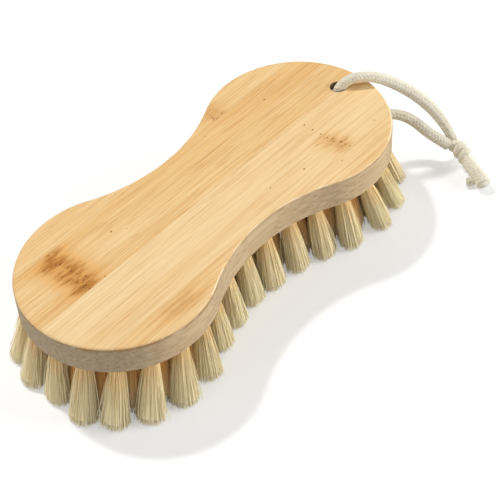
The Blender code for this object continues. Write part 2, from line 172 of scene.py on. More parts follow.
def vector_math(operation, *values, output=0):
    """An output of a Vector Math node on links or vectors."""
    inputs = dict(enumerate(values))
    return linked_node("ShaderNodeVectorMath", inputs, operation=operation).outputs[output]


def scaled(vector, factor):
    """A vector times a number."""
    inputs = {0: vector, "Scale": factor}
    return linked_node("ShaderNodeVectorMath", inputs, operation="SCALE").outputs[0]


def combined(x=0.0, y=0.0, z=0.0):
    """A vector from links or numbers."""
    return linked_node("ShaderNodeCombineXYZ", {0: x, 1: y, 2: z}).outputs[0]


def mixed_colour(share, first, second, blend="MIX"):
    """The colour output of a Mix node."""
    inputs = {0: share, 6: first, 7: second}
    return linked_node("ShaderNodeMix", inputs, data_type="RGBA", blend_type=blend).outputs[2]


def tinted(share, colour, tint):
    """A colour multiplied by a share of a tint."""
    return mixed_colour(share, colour, tint, "MULTIPLY")


def remapped(value, low, high, new_low=0.0, new_high=1.0):
    """A value mapped smoothly from one range to another."""
    inputs = {0: value, 1: low, 2: high, 3: new_low, 4: new_high}
    return linked_node("ShaderNodeMapRange", inputs, interpolation_type="SMOOTHSTEP").outputs[0]


def object_place(tree):
    """The place of a shaded point, in metres."""
    return add_node(tree, "ShaderNodeTexCoord").outputs["Object"]


def mesh_value(tree, name, output="Fac"):
    """A value that the mesh of a shaded point carries."""
    return add_node(tree, "ShaderNodeAttribute", attribute_name=name).outputs[output]


def noise(place, scale, detail=2.0, roughness=0.5):
    """A noise between 0 and 1, stretched by a scale for each axis."""
    stretched = vector_math("MULTIPLY", place, scale)
    return linked_node("ShaderNodeTexNoise", {
        "Vector": stretched, "Scale": 1.0, "Detail": detail, "Roughness": roughness}).outputs["Fac"]


def cells(place, scale, **settings):
    """The outputs of a Voronoi texture, stretched by a scale for each axis."""
    inputs = {"Vector": vector_math("MULTIPLY", place, scale), "Scale": 1.0}
    return linked_node("ShaderNodeTexVoronoi", inputs, **settings).outputs


def bumped(height, strength, distance):
    """The normal of a surface made uneven."""
    inputs = {"Strength": strength, "Distance": distance, "Height": height}
    return linked_node("ShaderNodeBump", inputs).outputs["Normal"]


def start_material(name):
    """A new material with its tree and its Principled BSDF."""
    material = bpy.data.materials.new(name)
    material.use_nodes = True
    return material, material.node_tree, material.node_tree.nodes["Principled BSDF"]


NOISE_RANGE = (0.3, 0.7)
COTTON_CREAM = (0.79, 0.75, 0.61, 1)
COTTON_PALE = (0.86, 0.835, 0.73, 1)
COTTON_STREAK = (0.78, 0.73, 0.58, 1)
COTTON_SPECK = (0.62, 0.55, 0.40, 1)
# Painted shade: the colour of the valleys between the yarns.
COTTON_VALLEY_SHADE = (0.60, 0.52, 0.36, 1)
YARN_FIBRE_SCALE = (0.55, 9.0, 3.1)
YARN_FIBRE_EDGE = (0.35, 0.75)
COTTON_PATCH_SCALE = (260, 260, 260)
SPECK_SCALE = (1100, 1100, 1100)
SPECK_EDGE = (0.42, 0.30)
VALLEY_SHADE_EDGE = (0.0, 0.5)
COTTON_BUMP = (0.6, 0.00006)


def cotton_material():
    """Undyed cotton: cream yarns with fine fibres along them, and painted shade that darkens
    the valleys between them.
    """
    material, tree, shader = start_material("undyed_cotton")
    place = object_place(tree)
    fibres = noise(mesh_value(tree, "yarn_place", "Vector"), YARN_FIBRE_SCALE, 3.0, 0.6)
    patches = remapped(noise(place, COTTON_PATCH_SCALE), *NOISE_RANGE)
    specks = remapped(noise(place, SPECK_SCALE, 2.0, 0.6), *SPECK_EDGE)
    colour = mixed_colour(patches, COTTON_CREAM, COTTON_PALE)
    colour = mixed_colour(remapped(fibres, *YARN_FIBRE_EDGE), COTTON_STREAK, colour)
    colour = mixed_colour(specks, colour, COTTON_SPECK)
    # Painted shade: the yarns are painted darker from their crowns down into the valleys between
    # them.
    crowns = remapped(mesh_value(tree, "yarn_height"), *VALLEY_SHADE_EDGE)
    set_inputs(shader, {
        "Base Color": mixed_colour(crowns, COTTON_VALLEY_SHADE, colour), "Roughness": 0.95,
        "Specular IOR Level": 0.2, "Sheen Weight": 0.25, "Sheen Roughness": 0.5,
        "Normal": bumped(fibres, *COTTON_BUMP)})
    return material


COTTON = cotton_material()


def points_at(height, steps):
    """Points at these steps from the hole's axis and from a height."""
    return [Vector((CORD_HOLE_X + x, CORD_HOLE_Y + y, height + z)) for x, y, z in steps]


UPPER_ROUTE = points_at(BOARD_TOP, [
    (-0.00041, 0.00037, CORD_GAP - HALF_THICKNESS), (-0.00050, 0.00020, -0.00358),
    (-0.00024, -0.00017, -0.00176), (0.00041, -0.00073, -0.00010), (0.00138, -0.00152, 0.00130),
    (0.00259, -0.00251, 0.00235), (0.00397, -0.00362, 0.00300), (0.00536, -0.00484, 0.00321),
    (0.00735, -0.00650, 0.00300), (0.00927, -0.00814, 0.00236), (0.01107, -0.00975, 0.00142),
    (0.01277, -0.01136, 0.00027), (0.01437, -0.01294, -0.00103), (0.01591, -0.01447, -0.00247),
    (0.01739, -0.01595, -0.00403), (0.01879, -0.01738, -0.00569), (0.02012, -0.01876, -0.00745),
    (0.02139, -0.02009, -0.00929), (0.02258, -0.02137, -0.01122), (0.02367, -0.02263, -0.01322),
]) + points_at(FLOOR_LEVEL, [
    (0.02466, -0.02387, 0.01841), (0.02553, -0.02510, 0.01629), (0.02627, -0.02634, 0.01413),
    (0.02686, -0.02759, 0.01192), (0.02729, -0.02887, 0.00969), (0.02759, -0.03042, 0.00702),
])
LOWER_ROUTE = points_at(BOARD_BOTTOM, [
    (-0.00031, 0.00031, HALF_THICKNESS - CORD_GAP), (-0.00031, 0.00031, 0.00345),
    (-0.00011, 0.00011, 0.00148), (0.00045, -0.00045, -0.00036), (0.00131, -0.00132, -0.00193),
    (0.00243, -0.00245, -0.00313),
]) + points_at(FLOOR_LEVEL, [
    (0.00373, -0.00375, 0.01861), (0.00509, -0.00518, 0.01833), (0.00680, -0.00705, 0.01830),
    (0.00865, -0.00875, 0.01844), (0.01069, -0.01024, 0.01860), (0.01270, -0.01178, 0.01860),
    (0.01453, -0.01349, 0.01835), (0.01611, -0.01539, 0.01782), (0.01736, -0.01743, 0.01701),
    (0.01823, -0.01955, 0.01594), (0.01889, -0.02164, 0.01469), (0.01954, -0.02365, 0.01329),
    (0.02039, -0.02551, 0.01181), (0.02150, -0.02718, 0.01028), (0.02275, -0.02874, 0.00873),
    (0.02433, -0.03069, 0.00670),
])
UPPER_EXIT = points_at(BOARD_TOP, [(0.0006, -0.0005, 0.0)])[0]
LOWER_EXIT = points_at(BOARD_BOTTOM, [(0.0003, -0.0003, 0.0)])[0]


def smooth_route(route, spacing):
    """Evenly spaced points on a smooth curve through the route's own points."""
    ends = [2 * route[0] - route[1], *route, 2 * route[-1] - route[-2]]
    fine = [route[0]]
    for before, start, end, after in zip(ends, ends[1:], ends[2:], ends[3:]):
        for step in range(1, CORD_CURVE_STEPS + 1):
            t = step / CORD_CURVE_STEPS
            pull = (end - before) * t + (2 * before - 5 * start + 4 * end - after) * t ** 2
            pull += (3 * start - before - 3 * end + after) * t ** 3
            fine.append(start + pull / 2)
    fine = np.array(fine)
    lengths = np.concatenate([[0.0], np.cumsum(np.linalg.norm(np.diff(fine, axis=0), axis=1))])
    places = np.linspace(0.0, lengths[-1], max(2, round(lengths[-1] / spacing)) + 1)
    return np.stack([np.interp(places, lengths, fine[:, axis]) for axis in range(3)], axis=1), places


def carried_frames(points):
    """Two directions square to a route at each of its points, carried along it without twist."""
    along = np.gradient(points, axis=0)
    along /= np.linalg.norm(along, axis=1)[:, None]
    helper = np.array((0.0, 0.0, 1.0)) if abs(along[0][2]) < STEEP else np.array((1.0, 0.0, 0.0))
    across = [np.cross(along[0], helper)]
    for direction in along[1:]:
        across.append(across[-1] - direction * (across[-1] @ direction))
    across = np.array(across)
    across /= np.linalg.norm(across, axis=1)[:, None]
    return across, np.cross(along, across)


def braid_surface(turns, lengths):
    """Height of the braid from 0 to 1, and the place along and across the yarn on top, where
    turns go round the cord and lengths run along it."""
    step = lengths / BRAID_LAY * YARNS_EACH_WAY
    first = turns * YARNS_EACH_WAY + step
    second = turns * YARNS_EACH_WAY - step
    cell = (np.floor(first) + np.floor(second)) % 4
    first_on_top = cell < 2
    across = np.where(first_on_top, first, second) % 1.0
    float_place = np.where(first_on_top, cell + second % 1.0, cell - 2 + first % 1.0)
    crown = np.sqrt(np.clip(1 - np.abs(2 * across - 1) ** YARN_ROUNDNESS, 0, 1))
    arch = YARN_END_HEIGHT + (1 - YARN_END_HEIGHT) * np.sin(np.pi * float_place / 2)
    yarn_along = np.where(first_on_top, second, first)
    yarn_number = np.where(first_on_top, np.floor(first), OTHER_WAY_YARNS + np.floor(second))
    return crown * arch, np.stack([yarn_along, across, yarn_number], axis=-1)


def braided_cord(route, radius=CORD_DIAMETER / 2, swell=None):
    """Vertices, faces, yarn places and heights of a braided tube with closed, flat ends. swell
    gives the share of the radius at each share of the length."""
    points, places = smooth_route(route, CORD_RING_SPACING)
    across, upward = carried_frames(points)
    turns = np.arange(CORD_SIDES) / CORD_SIDES
    height, yarn = braid_surface(turns[None, :], places[:, None])
    share = np.ones(len(places)) if swell is None else swell(places / places[-1])
    reach = radius * share[:, None] - BRAID_DEPTH * (1 - height)
    angle = 2 * math.pi * turns
    ring = np.cos(angle)[None, :, None] * across[:, None]
    ring = ring + np.sin(angle)[None, :, None] * upward[:, None]
    vertices = points[:, None] + reach[:, :, None] * ring
    index = np.arange(height.size).reshape(height.shape)
    after = np.roll(index, -1, axis=1)
    faces = np.stack([index[:-1], after[:-1], after[1:], index[1:]], axis=-1).reshape(-1, 4).tolist()
    faces.append(index[0][::-1].tolist())
    faces.append(index[-1].tolist())
    return vertices.reshape(-1, 3), faces, yarn.reshape(-1, 3), height.reshape(-1)


def carry(mesh, name, values, kind="FLOAT"):
    """Gives a mesh a number, or a vector, at each of its points."""
    key = "vector" if kind == "FLOAT_VECTOR" else "value"
    numbers = np.ravel(values).astype(np.float32)
    mesh.attributes.new(name, kind, "POINT").data.foreach_set(key, numbers)


def cord_object(name, parts):
    """One object from several braided tubes."""
    vertices, faces, yarns, heights = zip(*parts)
    starts = np.cumsum([0, *map(len, vertices)]).tolist()
    mesh = bpy.data.meshes.new(name)
    mesh.from_pydata(np.concatenate(vertices).tolist(), [], [
        [start + index for index in face] for start, tube in zip(starts, faces) for face in tube])
    carry(mesh, "yarn_place", np.concatenate(yarns), "FLOAT_VECTOR")
    carry(mesh, "yarn_height", np.concatenate(heights))
    mesh.shade_smooth()
    mesh.materials.append(COTTON)
    return new_object(name, mesh)


def ramp(share, start, span):
    """From 0 at the start of a span to 1 at its end."""
    return np.clip((share - start) / span, 0, 1)


def loose_swell(share):
    """The upper run's share of its radius: the braid opens where it hangs free."""
    return 1.0 + RUN_SWELL * np.sin(np.pi * ramp(share, *RUN_SWELL_SPAN)) ** RUN_SWELL_SHAPE


def lower_swell(share):
    """The lower run's share of its radius: it thickens towards the knot."""
    return 1.0 + KNOT_END_SWELL * ramp(share, *KNOT_END_SPAN)


CORD_RUNS = {
    "cord_upper_run": (UPPER_ROUTE, loose_swell, UPPER_EXIT),
    "cord_lower_run": (LOWER_ROUTE, lower_swell, LOWER_EXIT),
}
for name, (route, swell, _) in CORD_RUNS.items():
    run = cord_object(name.replace("cord", "braided_cord"), [braided_cord(route, swell=swell)])
    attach(run, "root")
    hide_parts(name)


# Knot: the lower end of the cord is wound twice round the upper end and comes out as the short
# tail. The upper end goes straight through and is the long tail, which is cut flat and frayed.
KNOT_TURNS = 2.2
KNOT_PITCH = 0.0029
KNOT_WRAP_RADIUS = 0.0017
KNOT_WRAP_THICKNESS = 0.0031
KNOT_CORE_THICKNESS = 0.0030
KNOT_CORE_SWELL = 1.12
KNOT_TURN_POINTS = 10
KNOT_LEAD_ANGLE = math.radians(150)
TAIL_OPENING = 0.42
TAIL_OPENING_SPAN = (0.30, 0.20)
TAIL_FRAYING = 0.18
TAIL_FRAYING_SPAN = (0.5, 0.5)
LONG_TAIL = points_at(FLOOR_LEVEL, [
    (0.0246, -0.03850, 0.0045), (0.0227, -0.04185, 0.0043), (0.0218, -0.04425, 0.0041),
    (0.0210, -0.04645, 0.0038), (0.0202, -0.04835, 0.0034), (0.0192, -0.05018, 0.0030)])
SHORT_TAIL = points_at(FLOOR_LEVEL, [
    (0.0247, -0.03810, 0.0038), (0.0234, -0.04185, 0.0023), (0.0217, -0.04455, 0.0019),
    (0.0199, -0.04565, 0.0018), (0.0184, -0.04525, 0.0017), (0.0174, -0.04415, 0.0016)])
KNOT_FROM, KNOT_TO = points_at(FLOOR_LEVEL, [(0.0268, -0.03185, 0.0066), (0.0250, -0.03880, 0.0045)])

knot_along = (KNOT_TO - KNOT_FROM).normalized()
knot_middle = (KNOT_FROM + KNOT_TO) / 2
knot_turn = knot_along.to_track_quat("Z", "Y").to_matrix()
wrap_route = [LOWER_ROUTE[-1]]
wrap_points = round(KNOT_TURNS * KNOT_TURN_POINTS)
for index in range(wrap_points + 1):
    turn = KNOT_TURNS * index / wrap_points
    angle = KNOT_LEAD_ANGLE + 2 * math.pi * turn
    place = Vector((math.cos(angle), math.sin(angle), 0.0)) * KNOT_WRAP_RADIUS
    place.z = (turn - KNOT_TURNS / 2) * KNOT_PITCH
    wrap_route.append(knot_turn @ place + knot_middle)
wrap_route += SHORT_TAIL


def tail_swell(share):
    """The long tail's share of its radius: it opens out of the knot, and more towards its end."""
    opening = ramp(share, *TAIL_OPENING_SPAN)
    opened = 1.0 + TAIL_OPENING * opening ** 2 * (3 - 2 * opening)
    return opened + TAIL_FRAYING * ramp(share, *TAIL_FRAYING_SPAN)


core_route = [UPPER_ROUTE[-1], knot_middle, *LONG_TAIL]
knot = cord_object("cord_end_knot", [
    braided_cord(core_route, KNOT_CORE_THICKNESS / 2 * KNOT_CORE_SWELL, tail_swell),
    braided_cord(wrap_route, KNOT_WRAP_THICKNESS / 2),
])
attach(knot, "root")
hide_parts("cord_knot")

for name, (route, _, exit_point) in CORD_RUNS.items():
    path, places = smooth_route(route, CORD_DIAMETER / 4)


# Board: strips of bamboo about 22 mm wide, glued edge to edge, planed, cut to a waisted outline
# and sanded round at the rim. It is drilled through for the cord, and from below for each tuft.
SEAM_GAP = 0.00003
RIM_ROUND = 0.0009
RIM_STEPS = 6
RIM_FLAT = 0.0003
OUTLINE_POINTS = 480
TUFT_HOLE_RADIUS = 0.0023
TUFT_HOLE_DEPTH = 0.0085
TUFT_HOLE_SIDES = 24
CORD_HOLE_SIDES = 64
CORD_HOLE_EASE = 0.0003
TUFT_HOLE_WEAR = 0.0002
WELD_DISTANCE = 0.000002
SHARP_ANGLE = math.radians(32)

middle_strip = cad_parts["bamboo_strip_middle_back"]
BOARD_LENGTH = board_high.x - board_low.x
LOBE_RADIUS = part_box("bamboo_cheek_hole_end_back")[1].y
HALF_WAIST = max(v.co.y for v in middle_strip.data.vertices if abs(v.co.x) < RIM_ROUND)
LOBE_CENTRE = BOARD_LENGTH / 2 - LOBE_RADIUS
WAIST_RADIUS = (LOBE_CENTRE ** 2 + HALF_WAIST ** 2 - LOBE_RADIUS ** 2) / (
    2 * (LOBE_RADIUS - HALF_WAIST))
WAIST_CENTRE = WAIST_RADIUS + HALF_WAIST
LOBE_SWEEP = math.atan2(WAIST_CENTRE, -LOBE_CENTRE)


def outline_ring(inset, z):
    """Points of the waisted outline moved in by the inset, counterclockwise from the +X end."""
    lobe = LOBE_RADIUS - inset
    waist = WAIST_RADIUS + inset
    waist_sweep = LOBE_SWEEP - math.pi / 2
    quarter_points = OUTLINE_POINTS // 4
    quarter_length = lobe * LOBE_SWEEP + waist * waist_sweep
    lobe_points = round(quarter_points * lobe * LOBE_SWEEP / quarter_length)
    quarter = []
    for index in range(lobe_points):
        angle = LOBE_SWEEP * index / lobe_points
        quarter.append((LOBE_CENTRE + lobe * math.cos(angle), lobe * math.sin(angle)))
    for index in range(quarter_points - lobe_points + 1):
        angle = waist_sweep * (1 - index / (quarter_points - lobe_points))
        quarter.append((waist * math.sin(angle), WAIST_CENTRE - waist * math.cos(angle)))
    half = quarter + [(-x, y) for x, y in quarter[-2::-1]]
    return [Vector((x, y, z)) for x, y in half + [(-x, -y) for x, y in half[1:-1]]]


def mesh_of_rings(name, stacks):
    """A mesh of closed bodies, each from a stack of rings of points with its two ends covered."""
    bm = bmesh.new()
    for stack in stacks:
        rings = [[bm.verts.new(point) for point in ring] for ring in stack]
        for below, above in zip(rings, rings[1:]):
            for index in range(len(below)):
                after = (index + 1) % len(below)
                bm.faces.new((below[index], below[after], above[after], above[index]))
        bm.faces.new(rings[0][::-1])
        bm.faces.new(rings[-1])
    mesh = bpy.data.meshes.new(name)
    bm.to_mesh(mesh)
    bm.free()
    return mesh


def board_blank():
    """The whole board as one mesh, with rounded rims and flat faces."""
    angles = [math.pi / 2 * step / RIM_STEPS for step in range(RIM_STEPS + 1)]
    low_rim = [
        (RIM_ROUND * (1 - math.sin(angle)), BOARD_BOTTOM + RIM_ROUND * (1 - math.cos(angle)))
        for angle in angles]
    high_rim = [(inset, BOARD_BOTTOM + BOARD_TOP - z) for inset, z in low_rim[::-1]]
    flat = RIM_ROUND + RIM_FLAT
    levels = [(flat, BOARD_BOTTOM), *low_rim, *high_rim, (flat, BOARD_TOP)]
    return mesh_of_rings("board_blank", [[outline_ring(inset, z) for inset, z in levels]])


def strand_islands(node):
    """Root and tip of each tuft of a CAD node: the middles of its strands where they leave the
    board, and where they are cut off. Strands of one tuft hang together below the board."""
    bm = bmesh.new()
    bm.from_mesh(node.data)
    bmesh.ops.remove_doubles(bm, verts=bm.verts, dist=WELD_DISTANCE)
    waiting = dict.fromkeys(v for v in bm.verts if v.co.z < BOARD_BOTTOM + WELD_DISTANCE)
    tufts = []
    while waiting:
        island = [waiting.popitem()[0]]
        for vertex in island:
            for edge in vertex.link_edges:
                other = edge.other_vert(vertex)
                if other in waiting:
                    del waiting[other]
                    island.append(other)
        tops = [v.co for v in island if v.co.z > BOARD_BOTTOM - WELD_DISTANCE]
        tips = [v.co for v in island if v.co.z < WELD_DISTANCE]
        tufts.append((sum(tops, Vector()) / len(tops), sum(tips, Vector()) / len(tips)))
    bm.free()
    return sorted(tufts, key=lambda tuft: tuple(tuft[0]))


TUFTS = {
    name: strand_islands(node) for name, node in sorted(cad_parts.items()) if "tuft" in name}


def hole_cutters(name, places, radius, low, high, sides, wear):
    """Cutters for round holes, which open a little where wear has rounded the edges they cross."""
    profile = [
        (radius + wear, low - wear), (radius + wear, low), (radius, low + wear),
        (radius, high - wear), (radius + wear, high), (radius + wear, high + wear)]
    turns = [2 * math.pi * side / sides for side in range(sides)]
    stacks = [
        [[(place.x + reach * math.cos(turn), place.y + reach * math.sin(turn), z) for turn in turns]
         for reach, z in profile] for place in places]
    return new_object(name, mesh_of_rings(name, stacks))


# Bamboo: the looks of the strips. A scale stretches a pattern along each axis. Two numbers are the
# values of a pattern, or places on an axis, between which something fades in. Where there are
# four, the last two say how strong it is at each.
BAMBOO_PALE = (0.91, 0.68, 0.37, 1)
BAMBOO_DEEP = (0.80, 0.475, 0.165, 1)
BAND_SCALE = (5, 140, 140)
BAND_AMOUNT = 1.25
STREAK_SCALE = (24, 800, 800)
STREAK_AMOUNT = 1.1
GRAIN_SCALE = (60, 2800, 2800)
GRAIN_DEPTH = 0.55
GRAIN_TINT = (0.82, 0.76, 0.66, 1)
VESSEL_SCALE = (20, 1250, 1250)
VESSEL_EDGE = (0.34, 0.14)
VESSEL_DEPTH = 0.30
VESSEL_TINT = (0.62, 0.44, 0.26, 1)
LINE_SCALE = (20, 680, 680)
LINE_EDGE = (0.040, 0.004)
LINE_DEPTH = 0.7
LINE_TINT = (0.74, 0.50, 0.26, 1)
SEED_SHIFT = (0.31, 0.0, 0.043)

DOT_SCALE = (65, 85, 85)
DOT_THINNING = 0.055
DOT_EDGE = (0.036, 0.020)
DOT_ROW_SPACING = 0.0034
DOT_ROW_RANDOMNESS = 0.7
DOT_ROW_EDGE = (0.14, 0.06)
DOT_DEPTH = 0.85
DOT_COLOUR = (0.26, 0.08, 0.01, 1)

WOBBLE_SCALE = (30, 420, 420)
WOBBLE_AMOUNT = 0.012
NODE_SIDE_FADE = 0.004
HALO_EDGE = (2.1, 0.3)
HALO_COLOUR = (0.76, 0.36, 0.07, 1)
MARK_EDGE = (1.15, 0.25)
MARK_COLOUR = (0.43, 0.16, 0.012, 1)
CURL_SCALE = (190, 800, 800)
MARK_CURL = (0.36, 0.60, 0.25, 1.25)
PORE_SCALE = (520, 800, 800)
PORE_EDGE = (0.30, 0.18)
PORE_REACH = (0.9, 0.15)
PORE_CURL = (0.42, 0.58)
LEAST_PORE_STRENGTH = 0.26
PORE_COLOUR = (0.15, 0.035, 0.0, 1)

SIDE_EDGE = (0.80, 0.35)
END_GRAIN_EDGE = (0.15, 0.8)
LIGHT_SIDE = (0.62, 0.46, 0.28, 1)
LIGHT_END = (0.43, 0.335, 0.215, 1)
DARK_SIDE = (0.50, 0.345, 0.19, 1)
DARK_END = (0.335, 0.25, 0.155, 1)
SIDE_VESSEL_DEPTH = 0.45
SIDE_VESSEL_TINT = (0.50, 0.40, 0.30, 1)
# A dark brown band in patches just below the rim, most towards the -X end.
DARK_BAND_TOP = (0.0003, 0.0007)
DARK_BAND_FOOT = (0.0016, 0.0008)
DARK_BAND_SCALE = (150, 150, 150)
DARK_BAND_PATCHES = (0.35, 0.6)
DARK_BAND_ALONG = (0.02, -0.04, 0.15, 1.0)
DARK_BAND_COLOUR = (0.36, 0.19, 0.065, 1)
# Painted highlight: a pale band in patches on the rounded rim, fading out towards the -X end, for
# light that the rim catches.
RIM_HIGHLIGHT_TOP = (0.96, 0.88)
RIM_HIGHLIGHT_FOOT = (0.55, 0.75)
RIM_HIGHLIGHT_SCALE = (170, 170, 170)
RIM_HIGHLIGHT_PATCHES = (0.40, 0.62)
RIM_HIGHLIGHT_ALONG = (-0.055, -0.030, 0.0, 0.75)
RIM_HIGHLIGHT_COLOUR = (0.96, 0.82, 0.59, 1)
# A burnt edge and painted shade: the wall and edge of the cord's hole painted dark brown.
HOLE_BURN_AND_SHADE_EDGE = (CORD_HOLE_RADIUS + 0.00022, CORD_HOLE_RADIUS + 0.00005)
HOLE_BURN_AND_SHADE_COLOUR = (0.24, 0.13, 0.06, 1)

FACE_ROUGHNESS = (0.70, 0.58)
SIDE_ROUGHNESS = 0.25
STREAK_HEIGHT = 0.6
GRAIN_HEIGHT = 0.5
VESSEL_DROP = 0.35
BAMBOO_BUMP = (0.35, 0.00012)


def planed_face(given, place, streaks, grain, vessels):
    """Colour of the planed face: broad bands, streaks, fine grain, vessels and thin dark lines."""
    tone = varied(given["Tone"], noise(place, BAND_SCALE), BAND_AMOUNT)
    tone = varied(tone, streaks, STREAK_AMOUNT, clamp=True)
    face = mixed_colour(tone, BAMBOO_PALE, BAMBOO_DEEP)
    face = tinted(remapped(grain, *NOISE_RANGE, GRAIN_DEPTH, 0.0), face, GRAIN_TINT)
    face = tinted(product(vessels, VESSEL_DEPTH), face, VESSEL_TINT)
    ridges = calculate("ABSOLUTE", difference(noise(place, LINE_SCALE), 0.5))
    lines = product(remapped(ridges, *LINE_EDGE, 0.0, LINE_DEPTH), given["Tone"])
    return tinted(lines, face, LINE_TINT)


def dotted(given, place, x, y, face):
    """The face with small dark dots: a few all over it, and a row of them across the strip."""
    spots = cells(place, DOT_SCALE, voronoi_dimensions="2D")
    thinning = linked_node("ShaderNodeSeparateColor", {0: spots["Color"]}).outputs[0]
    off_spot = calculate("ADD", spots["Distance"], product(thinning, DOT_THINNING))
    row = linked_node("ShaderNodeTexVoronoi", {
        "W": calculate("DIVIDE", y, DOT_ROW_SPACING), "Scale": 1.0,
        "Randomness": DOT_ROW_RANDOMNESS}, voronoi_dimensions="1D").outputs["Distance"]
    off_row = calculate("DIVIDE", difference(x, given["Dot Line"]), DOT_ROW_SPACING)
    off_row = vector_math("LENGTH", combined(off_row, row), output="Value")
    dots = calculate("MAXIMUM", remapped(off_spot, *DOT_EDGE), remapped(off_row, *DOT_ROW_EDGE))
    return mixed_colour(product(dots, DOT_DEPTH), face, DOT_COLOUR)


def marked_by_node(given, place, x, y, face):
    """The face with the brown mark of a stem node across it: a halo, the mark itself, which the
    grain curls through, and pores. The pores are the second result."""
    off_node = difference(x, given["Node Place"])
    off_node = varied(off_node, noise(place, WOBBLE_SCALE, 3.0), WOBBLE_AMOUNT)
    off_node = calculate("DIVIDE", calculate("ABSOLUTE", off_node), given["Node Width"])
    within = product(
        remapped(difference(y, given["Node Low"]), 0.0, NODE_SIDE_FADE),
        remapped(difference(given["Node High"], y), 0.0, NODE_SIDE_FADE))
    marked = product(within, given["Node Strength"])
    halo = product(remapped(off_node, *HALO_EDGE), marked)
    face = mixed_colour(halo, face, HALO_COLOUR)
    curl = noise(place, CURL_SCALE, 3.0, 0.7)
    mark = product(remapped(off_node, *MARK_EDGE), marked)
    mark = calculate("MULTIPLY", mark, remapped(curl, *MARK_CURL), clamp=True)
    face = mixed_colour(mark, face, MARK_COLOUR)
    has_pores = calculate("GREATER_THAN", given["Node Strength"], LEAST_PORE_STRENGTH)
    pores = product(
        remapped(cells(place, PORE_SCALE)["Distance"], *PORE_EDGE),
        remapped(off_node, *PORE_REACH), remapped(curl, *PORE_CURL), within, has_pores)
    return mixed_colour(pores, face, PORE_COLOUR), pores


def sanded_side(place, x, z, end_grain, streaks, vessels):
    """Colour of the sanded sides: greyer at the ends, and darker brown in patches in a band just
    below the rim, most towards the -X end.
    """
    light_side = mixed_colour(end_grain, LIGHT_SIDE, LIGHT_END)
    dark_side = mixed_colour(end_grain, DARK_SIDE, DARK_END)
    sanded = mixed_colour(remapped(streaks, *NOISE_RANGE), light_side, dark_side)
    sanded = tinted(product(vessels, SIDE_VESSEL_DEPTH), sanded, SIDE_VESSEL_TINT)
    below_top = difference(BOARD_TOP, z)
    dark_band = product(
        remapped(below_top, *DARK_BAND_TOP), remapped(below_top, *DARK_BAND_FOOT),
        remapped(noise(place, DARK_BAND_SCALE), *DARK_BAND_PATCHES), remapped(x, *DARK_BAND_ALONG))
    return mixed_colour(dark_band, sanded, DARK_BAND_COLOUR)


def rim_highlight_and_hole_shade(place, x, y, rise, colour):
    """The colour with a painted highlight in patches on the rounded rim, and a burnt edge with
    painted shade round the cord's hole.
    """
    # Painted highlight on the rounded rim, in patches, fading out towards the -X end.
    rim = product(
        remapped(rise, *RIM_HIGHLIGHT_TOP), remapped(rise, *RIM_HIGHLIGHT_FOOT),
        remapped(noise(place, RIM_HIGHLIGHT_SCALE, 3.0, 0.6), *RIM_HIGHLIGHT_PATCHES), remapped(x, *RIM_HIGHLIGHT_ALONG))
    colour = mixed_colour(rim, colour, RIM_HIGHLIGHT_COLOUR)
    # The cord's hole: a burnt edge and painted shade on its wall, painted dark brown.
    off_hole = combined(difference(x, CORD_HOLE_X), difference(y, CORD_HOLE_Y))
    off_hole = vector_math("LENGTH", off_hole, output="Value")
    return mixed_colour(remapped(off_hole, *HOLE_BURN_AND_SHADE_EDGE), colour, HOLE_BURN_AND_SHADE_COLOUR)


def bamboo_grain():
    """Shader group for bamboo: a planed face with grain along X, dark dots and the brown mark of
    a stem node, sanded sides, a painted highlight on the rim, and a burnt edge with painted
    shade round the cord's hole."""
    tree = bpy.data.node_groups.new("bamboo_grain", "ShaderNodeTree")
    for name, value in (
            ("Tone", 0.5), ("Seed", 0.0), ("Node Place", 0.0), ("Node Width", 0.006),
            ("Node Strength", 0.0), ("Node Low", -0.1), ("Node High", 0.1), ("Dot Line", 1.0)):
        socket = tree.interface.new_socket(name, in_out="INPUT", socket_type="NodeSocketFloat")
        socket.default_value = value
    for name, kind in (("Color", "Color"), ("Roughness", "Float"), ("Height", "Float")):
        tree.interface.new_socket(name, in_out="OUTPUT", socket_type=f"NodeSocket{kind}")
    given = tree.nodes.new("NodeGroupInput").outputs
    position = object_place(tree)
    x, y, z = linked_node("ShaderNodeSeparateXYZ", {0: position}).outputs
    place = vector_math("ADD", position, scaled(SEED_SHIFT, given["Seed"]))
    normal = add_node(tree, "ShaderNodeNewGeometry").outputs["Normal"]
    normal = linked_node("ShaderNodeSeparateXYZ", {0: normal}).outputs
    side = remapped(calculate("ABSOLUTE", normal["Z"]), *SIDE_EDGE)
    end_grain = remapped(calculate("ABSOLUTE", normal["X"]), *END_GRAIN_EDGE)
    streaks = noise(place, STREAK_SCALE, 3.0, 0.65)
    grain = noise(place, GRAIN_SCALE, 2.0, 0.6)
    vessels = remapped(cells(place, VESSEL_SCALE)["Distance"], *VESSEL_EDGE)

    face = planed_face(given, place, streaks, grain, vessels)
    face = dotted(given, place, x, y, face)
    face, pores = marked_by_node(given, place, x, y, face)
    sanded = sanded_side(place, x, z, end_grain, streaks, vessels)
    colour = rim_highlight_and_hole_shade(place, x, y, normal["Z"], mixed_colour(side, face, sanded))
    face_roughness = remapped(grain, *NOISE_RANGE, *FACE_ROUGHNESS)
    rough = calculate("MULTIPLY_ADD", side, SIDE_ROUGHNESS, face_roughness)
    height = calculate("ADD", product(streaks, STREAK_HEIGHT), product(grain, GRAIN_HEIGHT))
    height = difference(height, product(vessels, VESSEL_DROP))
    height = difference(height, pores)
    linked_node("NodeGroupOutput", {"Color": colour, "Roughness": rough, "Height": height})
    return tree


GRAIN = bamboo_grain()


